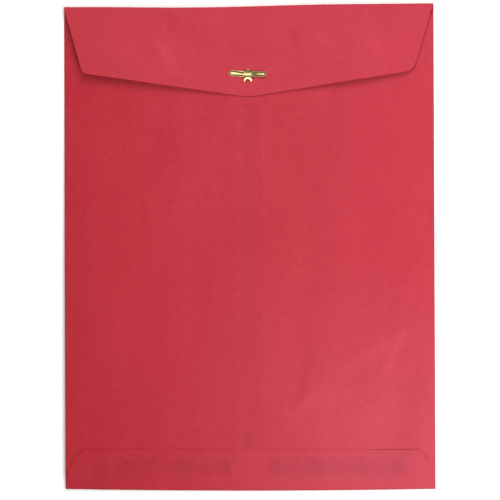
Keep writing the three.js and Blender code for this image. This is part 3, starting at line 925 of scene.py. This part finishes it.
def base_top(x, y):
    """Top of the base: the hub stands up in the middle with a foot under each prong's bend, the lugs have a
    raised rim round their eyes."""
    dx, dy = x - CLASP_X, y - CLASP_Y
    hub = np.interp(dy, *zip(*HUB_PROFILE))
    foot = FOOT - FOOT_FALL * np.clip((dx - HUB_X) / (FOOT_X - HUB_X), 0, 1)
    hub = np.where(np.abs(dx) > HUB_X + 0.01, np.minimum(hub, foot), hub)
    r = np.hypot(dx, np.abs(dy) - LUG_SPACING / 2)
    rim = EYE_RIM * bump((r - EYE_R) / EYE_RIM_WIDTH)
    edge = -LUG_ROUND * smooth((r - LUG_R + LUG_ROUND_WIDTH) / LUG_ROUND_WIDTH)
    return CLASP_TOP + hub + rim * (hub == 0) + edge * (np.abs(dy) > LUG_SPACING / 2 - 1.5)


def build_base():
    def place(x, y):
        low = np.full_like(x, CLASP_LEVEL)
        return np.stack([x, y, low], axis=-1), np.stack([x, y, base_top(x, y)], axis=-1)

    reach = LUG_SPACING / 2 + LUG_R
    hub_rows = [
        -2.45, -2.2, -1.9, -1.55, -1.38, -1.2, -1.03, -0.85, -0.5, -0.2, 0.1, 0.5, 0.8, 1.15, 1.6,
        2.1, 2.6, 3.05,
    ]
    rows = np.concatenate([
        np.linspace(-reach, -6.6, 14), np.linspace(-6.4, -2.6, 27), hub_rows,
        np.linspace(3.25, 6.4, 22), np.linspace(6.6, reach, 14),
    ])
    right = [(CLASP_X + base_half_width(t), CLASP_Y + t) for t in rows[1:-1]]
    outline = [(CLASP_X, CLASP_Y - reach), *right, (CLASP_X, CLASP_Y + reach), *mirrored(right, CLASP_X)]
    eyes = [circle(CLASP_X, CLASP_Y + s * LUG_SPACING / 2, EYE_R, 40) for s in (-1, 1)]
    hub_sides = [CLASP_X + side * (HUB_X + gap) for side in (-1, 1) for gap in (-0.02, 0.02)]
    xs = spaced(CLASP_X - 3.3, CLASP_X + 3.3, 0.19, hub_sides)
    obj = cut_sheet("clasp_body", outline, eyes, xs, CLASP_Y + rows, place, gap=0.08)
    sharpen(obj, 28)
    return obj


def build_eyelets():
    """The shanks of the two lugs, through the panels, and their clinched rims inside the pocket."""
    clinch = PAPER + EDGE_GAP + SWELL - PLY
    shank = EYE_R + SHANK_WALL
    profile = [
        (EYE_R, CLASP_TOP + 0.1), (EYE_R + 0.15, CLASP_TOP + 0.2), (shank + 0.05, CLASP_TOP + 0.05),
        (shank, CLASP_LEVEL), (shank, clinch + 0.02), (shank + 0.15, clinch - 0.02),
        (CLINCH_R - 0.15, clinch - 0.02), (CLINCH_R, clinch - 0.12), (CLINCH_R - 0.02, clinch - 0.27),
        (CLINCH_R - 0.2, clinch - METAL), (EYE_R + 0.35, clinch - METAL),
        (EYE_R + 0.1, clinch - METAL + 0.08), (EYE_R, clinch - METAL + 0.28),
    ]
    split_points = range(6, 10)
    steps = 48
    points, faces = [], []
    for s in (-1, 1):
        faces += lattice(len(points), steps, len(profile), round_rows=True, round_columns=True)
        for i in range(steps):
            a = 2 * math.pi * i / steps
            for k, (r, z) in enumerate(profile):
                if k in split_points:
                    r -= RIM_SPLIT * (1 - abs(math.cos(a * 3))) ** 6
                points.append((CLASP_X + r * math.cos(a), CLASP_Y + s * LUG_SPACING / 2 + r * math.sin(a), z))
    obj = make_object("clasp_eyelets", points, faces)
    face_outwards(obj)
    sharpen(obj, 60)
    return obj


# Materials

class Graph:
    """A short way to write node graphs."""

    def __init__(self, tree):
        self.tree = tree

    def node(self, kind, *values, **settings):
        """A new node with its settings, and the values fed into its first inputs."""
        made = self.tree.nodes.new(kind)
        for key, value in settings.items():
            setattr(made, key, value)
        for socket, value in zip(made.inputs, values):
            self.feed(socket, value)
        return made

    def feed(self, socket, value):
        if isinstance(value, bpy.types.NodeSocket):
            self.tree.links.new(value, socket)
        else:
            socket.default_value = value

    def math(self, operation, *values):
        return self.node("ShaderNodeMath", *values, operation=operation).outputs[0]

    def mix(self, factor, a, b, blend="MIX"):
        made = self.node("ShaderNodeMix", factor, data_type="RGBA", blend_type=blend)
        self.feed(made.inputs[6], a)
        self.feed(made.inputs[7], b)
        return made.outputs[2]

    def grey(self, level):
        return self.node("ShaderNodeCombineColor", level, level, level).outputs[0]


class Surface(Graph):
    """The graph of a new material, over the object's own coordinates in metres."""

    def __init__(self, name):
        self.material = bpy.data.materials.new(name)
        self.material.use_nodes = True
        super().__init__(self.material.node_tree)
        self.shader = self.tree.nodes["Principled BSDF"]
        self.coords = self.node("ShaderNodeTexCoord").outputs["Object"]

    def shade(self, name, value):
        self.feed(self.shader.inputs[name], value)

    def axis(self, which):
        return self.node("ShaderNodeSeparateXYZ", self.coords).outputs[which]

    def attribute(self, name):
        return self.node("ShaderNodeAttribute", attribute_name=name).outputs["Fac"]

    def scaled(self, x, y, z, turn=0.0):
        made = self.node("ShaderNodeMapping", self.coords)
        made.inputs["Rotation"].default_value = (0, 0, turn)
        made.inputs["Scale"].default_value = (x, y, z)
        return made.outputs[0]

    def noise(self, scale, detail=2.0, rough=0.5, vector=None, distortion=0.0):
        made = self.node("ShaderNodeTexNoise", vector or self.coords)
        made.inputs["Scale"].default_value = scale
        made.inputs["Detail"].default_value = detail
        made.inputs["Roughness"].default_value = rough
        made.inputs["Distortion"].default_value = distortion
        return made.outputs[0]

    def swing(self, noise, amount):
        """A factor about 1 that goes up and down by half the amount with a noise from 0 to 1."""
        return self.math("MULTIPLY_ADD", noise, amount, 1 - amount / 2)

    def ramp(self, value, low, high, out_low=0.0, out_high=1.0):
        """A smooth step from out_low where the value is low to out_high where it is high."""
        limits = low, high, out_low, out_high
        return self.node("ShaderNodeMapRange", value, *limits, interpolation_type="SMOOTHSTEP").outputs[0]

    def bump(self, height, distance, strength):
        made = self.node("ShaderNodeBump")
        made.inputs["Distance"].default_value = distance
        made.inputs["Strength"].default_value = strength
        self.feed(made.inputs["Height"], height)
        self.shade("Normal", made.outputs[0])


def paper_colour(g, deep, pale_painted_sheen):
    """A dyed sheet, painted paler towards the right and most at the lower right corner (painted light and
    sheen), and painted darker at the lower left corner (painted shade). It is mottled by clouds a few
    millimetres wide, streaks and faint fibres, and takes the painted light and shade of the creases. Most of
    the mottling multiplies the dye's colour, and a part is added as grey, so that pale spots are less pure in
    colour; on the lighter creases that grey is painted sheen."""
    x, y = g.axis(0), g.axis(1)
    # painted light and sheen: the colour is made paler towards the right and most at the lower right corner
    corner = g.math("MULTIPLY", g.ramp(x, -0.06, 0.09), g.ramp(y, 0.0, -0.14, 0.0, 0.65))
    side = g.math("ADD", g.ramp(x, -0.12, 0.0, 0.0, 0.25), g.ramp(x, 0.03, 0.12, 0.0, 0.10))
    colour_with_painted_sheen = g.mix(g.math("ADD", corner, side), deep, pale_painted_sheen)
    level = g.swing(g.noise(260.0, 4.0, 0.6), CLOUDS)
    for factor in (
        g.swing(g.noise(46.0, 2.0, 0.5, g.scaled(1.0, 0.3, 1.0, 0.05)), STREAKS),
        # painted light and shade of the creases and bulges, stored at the vertices
        g.math("MULTIPLY_ADD", g.attribute("tone"), PAINTED_SHADING_STRENGTH, 1 - PAINTED_SHADING_STRENGTH),
        g.swing(g.noise(22.0, 2.0, 0.5), BROAD_CLOUDS),
        g.swing(g.noise(900.0, 3.0, 0.65, g.scaled(1.0, 0.22, 1.0, 0.5), 0.4), FIBRES),
    ):
        level = g.math("MULTIPLY", level, factor)
    # painted shade: the lower left corner is made darker
    painted_shade_lower_left = g.ramp(g.math("MULTIPLY_ADD", y, -0.8, g.math("MULTIPLY", x, -1.0)), 0.10, 0.24, 1.0, 0.95)
    dyed = g.mix(1.0, colour_with_painted_sheen, g.grey(g.math("MULTIPLY", level, painted_shade_lower_left)), "MULTIPLY")
    return g.mix(1.0, dyed, g.grey(g.math("MULTIPLY_ADD", level, ADDED_GREY, ADDED_GREY_OFFSET)), "ADD")


def glue_seen(g, colour):
    """Glue on the paper's other face darkens it, in streaks."""
    streaks = g.noise(200.0, 3.0, 0.6, g.scaled(1.0, 0.25, 1.0))
    amount = g.math("MULTIPLY", g.attribute("glue"), g.ramp(streaks, 0.33, 0.67, 0.7, 1.0))
    return g.mix(amount, colour, g.mix(1.0, colour, SEEN_GLUE_TINT, "MULTIPLY"))


def paper_material(name, deep, pale_painted_sheen):
    """Dull uncoated paper with a fine and a soft grain."""
    g = Surface(name)
    g.shade("Base Color", glue_seen(g, paper_colour(g, deep, pale_painted_sheen)))
    g.shade("Roughness", g.ramp(g.noise(420.0, 2.0), 0.3, 0.7, 0.72, 0.82))
    g.shade("Specular IOR Level", 0.24)
    soft = g.math("MULTIPLY", g.noise(340.0, 3.0, 0.55), 1.5)
    g.bump(g.math("ADD", g.noise(2400.0, 3.0, 0.6), soft), 0.00003, 0.5)
    return g.material


def glue_material(name, tone, rough):
    """Dried glue or gum, darker in blots."""
    g = Surface(name)
    blot = g.noise(240.0, 4.0, 0.65)
    g.shade("Base Color", g.mix(blot, tone, tuple(c * 0.72 for c in tone[:3]) + (1.0,)))
    g.shade("Roughness", g.ramp(blot, 0.3, 0.7, rough, rough + 0.2))
    g.bump(g.noise(600.0, 3.0, 0.6), 0.00003, 0.6)
    return g.material


def brass_material(name, tone, rough):
    """Stamped brass sheet: drawn grain, a little tarnish, small scratches."""
    g = Surface(name)
    grain = g.noise(5200.0, 3.0, 0.6, g.scaled(0.12, 1.0, 1.0))
    tarnish = g.ramp(g.noise(900.0, 4.0, 0.65), 0.52, 0.78)
    colour = g.mix(g.math("MULTIPLY", tarnish, 0.35), tone, TARNISH_TONE)
    colour = g.mix(g.math("MULTIPLY", grain, 0.16), colour, DRAWN_TONE)
    g.shade("Base Color", colour)
    g.shade("Metallic", 1.0)
    g.shade("Roughness", g.math("MULTIPLY_ADD", grain, 0.12, g.math("MULTIPLY_ADD", tarnish, 0.16, rough)))
    scratch = g.ramp(g.noise(2600.0, 2.0, 0.5, g.scaled(1.0, 0.1, 1.0, 0.35)), 0.62, 0.7)
    g.bump(g.math("SUBTRACT", grain, scratch), 0.000012, 0.6)
    return g.material


def dress(obj, body, slot, material, *nodes):
    obj.data.materials.clear()
    obj.data.materials.append(material)
    if body:
        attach(obj, body)
    if nodes:
        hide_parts(*nodes)
    return obj


# The object

rng = np.random.RandomState(7)

paper = paper_material("dyed_paper", RED_DEEP, RED_PALE_PAINTED_SHEEN)
flap_paper_painted_light = paper_material("dyed_paper_flap_painted_light", FLAP_DEEP_PAINTED_LIGHT, FLAP_PALE_PAINTED_LIGHT)
patch_paper = paper_material("patch_paper", PATCH_DEEP, PATCH_PALE_PAINTED_SHEEN)
glue = glue_material("dried_glue", GLUE_TONE, 0.4)
gum = glue_material("moistenable_gum", GUM_TONE, 0.28)
brass = brass_material("stamped_brass", BRASS_TONE, 0.12)
dull_brass = brass_material("dull_brass", DULL_BRASS_TONE, 0.42)

dress(mark(build_front()), "envelope", "paper", paper, "front_panel")
left_side = mark(build_side("left_side_sheet", -1, OVER_EDGE, over_side), BACK_PAINTED_LIGHT_SHADE_AND_STAIN, seam_glue_seen)
dress(left_side, "envelope", "paper", paper, "left_side_panel")
right_side = mark(build_side("right_side_sheet", 1, UNDER_EDGE, under_side), BACK_PAINTED_LIGHT_SHADE_AND_STAIN)
dress(right_side, "envelope", "paper", paper, "right_side_panel")
dress(build_seam_glue(), "envelope", "glue", glue, "seam_glue")
bottom_flap = mark(build_bottom_flap(), BACK_PAINTED_LIGHT_SHADE_AND_STAIN + BOTTOM_EDGE_PAINTED_SHADOW, bottom_glue_seen)
dress(bottom_flap, "envelope", "paper", paper, "bottom_flap")
dress(build_bottom_glue("bottom_glue_strip_left", -1, rng), "envelope", "glue", glue, "bottom_glue_left")
dress(build_bottom_glue("bottom_glue_strip_right", 1, rng), "envelope", "glue", glue, "bottom_glue_right")

fold = dress(mark(build_fold()), None, "paper", flap_paper_painted_light, "fold_band")
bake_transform(fold)

dress(mark(build_flap(), FLAP_PAINTED_LIGHT_AND_SHADE), "flap", "paper", flap_paper_painted_light, "closure_flap")
dress(mark(build_patch()), "flap", "patch", patch_paper, "flap_hole_patch")
dress(build_gum("gum_strip_left", -1, rng), "flap", "gum", gum, "flap_gum_left")
dress(build_gum("gum_strip_right", 1, rng), "flap", "gum", gum, "flap_gum_right")

dress(build_base(), "envelope", "brass", brass, "clasp_base")
dress(build_eyelets(), "envelope", "brass", dull_brass, "clasp_base")
dress(build_prong("prong_sheet_left", -1, YAW_LEFT), "prong_left", "brass", brass, "clasp_prong_left")
dress(build_prong("prong_sheet_right", 1, YAW_RIGHT), "prong_right", "brass", brass, "clasp_prong_right")


# The studio

def build_floor():
    """Bright where the camera, metal or glass sees it, and a plain grey where it only lights the object."""
    h = FLOOR_HALF
    mesh = bpy.data.meshes.new("floor")
    mesh.from_pydata([(-h, -h, 0), (h, -h, 0), (h, h, 0), (-h, h, 0)], [], [(0, 1, 2, 3)])
    floor = bpy.data.objects.new("floor", mesh)
    floor.location = (0, 0, -FLOOR_DROP)
    bpy.context.scene.collection.objects.link(floor)
    material = bpy.data.materials.new("floor_white")
    material.use_nodes = True
    material.node_tree.nodes.clear()
    g = Graph(material.node_tree)
    path = g.node("ShaderNodeLightPath").outputs
    seen = g.math("MAXIMUM", path["Is Camera Ray"], path["Is Transmission Ray"])
    seen = g.math("MAXIMUM", seen, path["Is Glossy Ray"])
    lit = g.node("ShaderNodeBsdfDiffuse", FLOOR_LIT).outputs[0]
    bright = g.node("ShaderNodeBsdfDiffuse", FLOOR_SEEN).outputs[0]
    mix = g.node("ShaderNodeMixShader", seen, lit, bright).outputs[0]
    g.node("ShaderNodeOutputMaterial", mix)
    mesh.materials.append(material)


def build_world():
    """Soft light, most of it from overhead; the camera sees white."""
    world = bpy.data.worlds.new("studio")
    bpy.context.scene.world = world
    world.use_nodes = True
    world.node_tree.nodes.clear()
    g = Graph(world.node_tree)
    direction = g.node("ShaderNodeTexCoord").outputs["Generated"]
    axis = Vector(WORLD_AXIS).normalized()
    overhead = g.node("ShaderNodeVectorMath", direction, axis, operation="DOT_PRODUCT").outputs["Value"]
    ramp = g.node("ShaderNodeValToRGB", overhead)
    stops = ramp.color_ramp.elements
    stops.remove(stops[1])
    stops[0].color = (WORLD_BASE, WORLD_BASE, WORLD_BASE, 1)
    for position, level in WORLD_LEVELS:
        stops.new(position).color = (level, level, level, 1)
    fill = g.node("ShaderNodeBackground", ramp.outputs[0], WORLD_STRENGTH).outputs[0]
    white = g.node("ShaderNodeBackground", WHITE).outputs[0]
    seen = g.node("ShaderNodeLightPath").outputs["Is Camera Ray"]
    mix = g.node("ShaderNodeMixShader", seen, fill, white).outputs[0]
    g.node("ShaderNodeOutputWorld", mix)


def build_lamp(name, place, size, power):
    """A round lamp that points at the envelope; the brass doesn't mirror it."""
    data = bpy.data.lights.new(name, "AREA")
    data.shape = "DISK"
    data.size = size
    data.energy = power
    lamp = bpy.data.objects.new(name, data)
    lamp.location = place
    lamp.rotation_euler = (-Vector(place)).to_track_quat("-Z", "Y").to_euler()
    lamp.visible_glossy = False
    bpy.context.scene.collection.objects.link(lamp)


def build_camera():
    """A long lens nearly straight above the envelope, a little to the right of its middle."""
    data = bpy.data.cameras.new("camera")
    data.sensor_fit = "HORIZONTAL"
    data.sensor_width = 36.0
    data.lens = CAMERA_LENS
    data.clip_start = 0.1
    data.clip_end = 100.0
    camera = bpy.data.objects.new("camera", data)
    dx, dy = math.sin(math.radians(CAMERA_SIDEWAYS)), math.sin(math.radians(CAMERA_UPWARDS))
    back = Vector((dx, dy, math.sqrt(1 - dx * dx - dy * dy)))
    roll = math.radians(CAMERA_ROLL)
    right = Vector((-math.sin(roll), math.cos(roll), 0)).cross(back).normalized()
    turn = Matrix((right, back.cross(right), back)).transposed()
    place = Vector(CAMERA_TARGET_MM) * MM + back * CAMERA_DISTANCE
    camera.matrix_world = Matrix.LocRotScale(place, turn, None)
    bpy.context.scene.collection.objects.link(camera)
    bpy.context.scene.camera = camera


build_floor()
build_world()
build_lamp("top_light", **TOP_LAMP)
build_lamp("right_light", **RIGHT_LAMP)
build_camera()
bpy.context.scene.view_settings.view_transform = "Standard"
